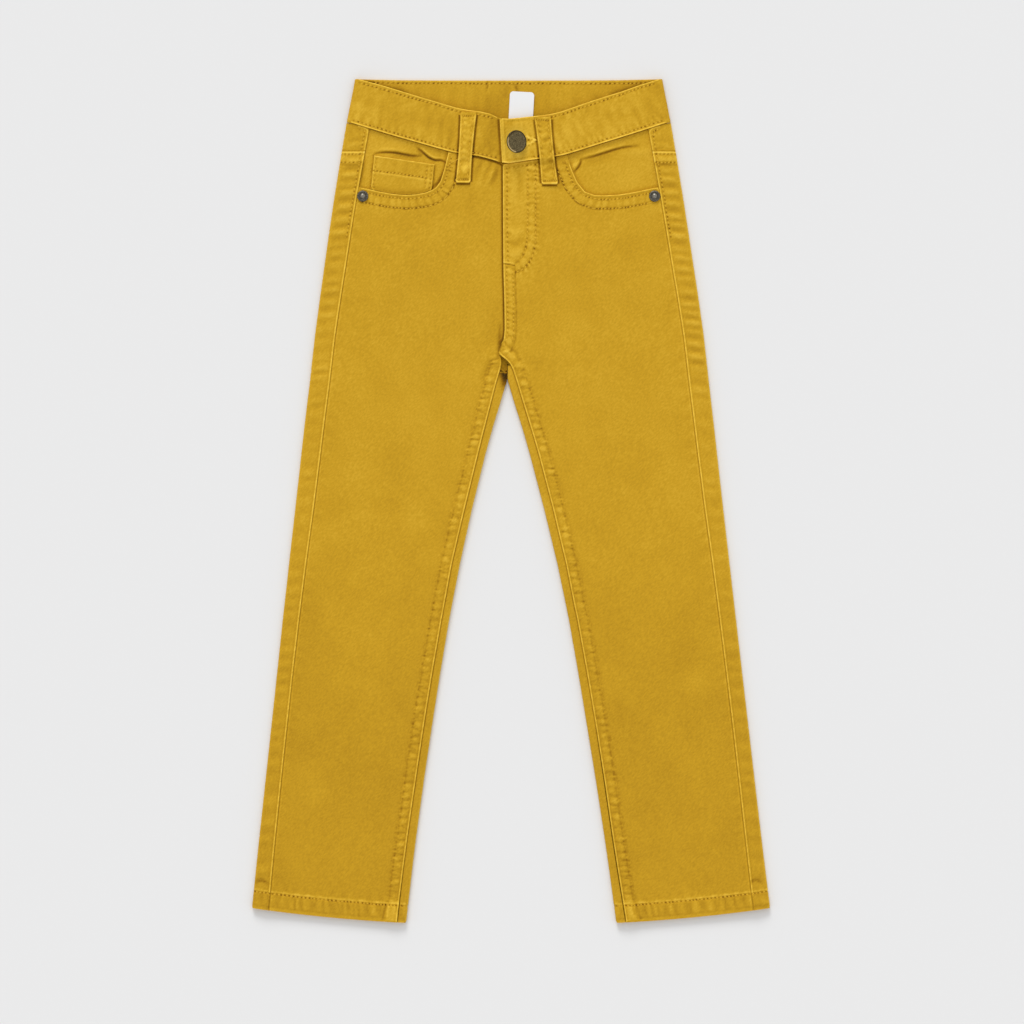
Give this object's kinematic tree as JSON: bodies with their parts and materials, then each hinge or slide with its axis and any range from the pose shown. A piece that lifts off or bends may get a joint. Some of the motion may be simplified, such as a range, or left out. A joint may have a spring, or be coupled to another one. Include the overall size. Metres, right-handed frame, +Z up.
{
  "type": "trousers",
  "caption": "Child's cotton twill trousers laid flat, front up: scooped front pockets, coin pocket, fly, waistband with belt loops and a metal button.",
  "frame": {"origin": "middle of the flat underside, on the surface that the trousers lie on", "axes": "+Y towards the waist, +Z up out of the front, +X towards the wearer's left"},
  "size_m": [0.4056, 0.66, 0.0187],
  "materials": {
    "twill": "washed mustard cotton twill, matt with a slight nap",
    "label_satin": "white satin ribbon",
    "antique_brass": "dark antique brass, worn brighter on the rim",
    "gunmetal": "dark gunmetal, satin"
  },
  "bodies": {
    "root": {"front_panel_right": "twill", "front_panel_left": "twill", "back_panel_right": "twill", "back_panel_left": "twill", "yoke_right": "twill", "yoke_left": "twill", "waistband": "twill", "belt_loop_right": "twill", "belt_loop_left": "twill", "pocket_facing_right": "twill", "pocket_facing_left": "twill", "coin_pocket": "twill", "care_label": "label_satin", "button": "antique_brass", "rivet_right": "gunmetal", "rivet_left": "gunmetal"}
  },
  "joints": []
}
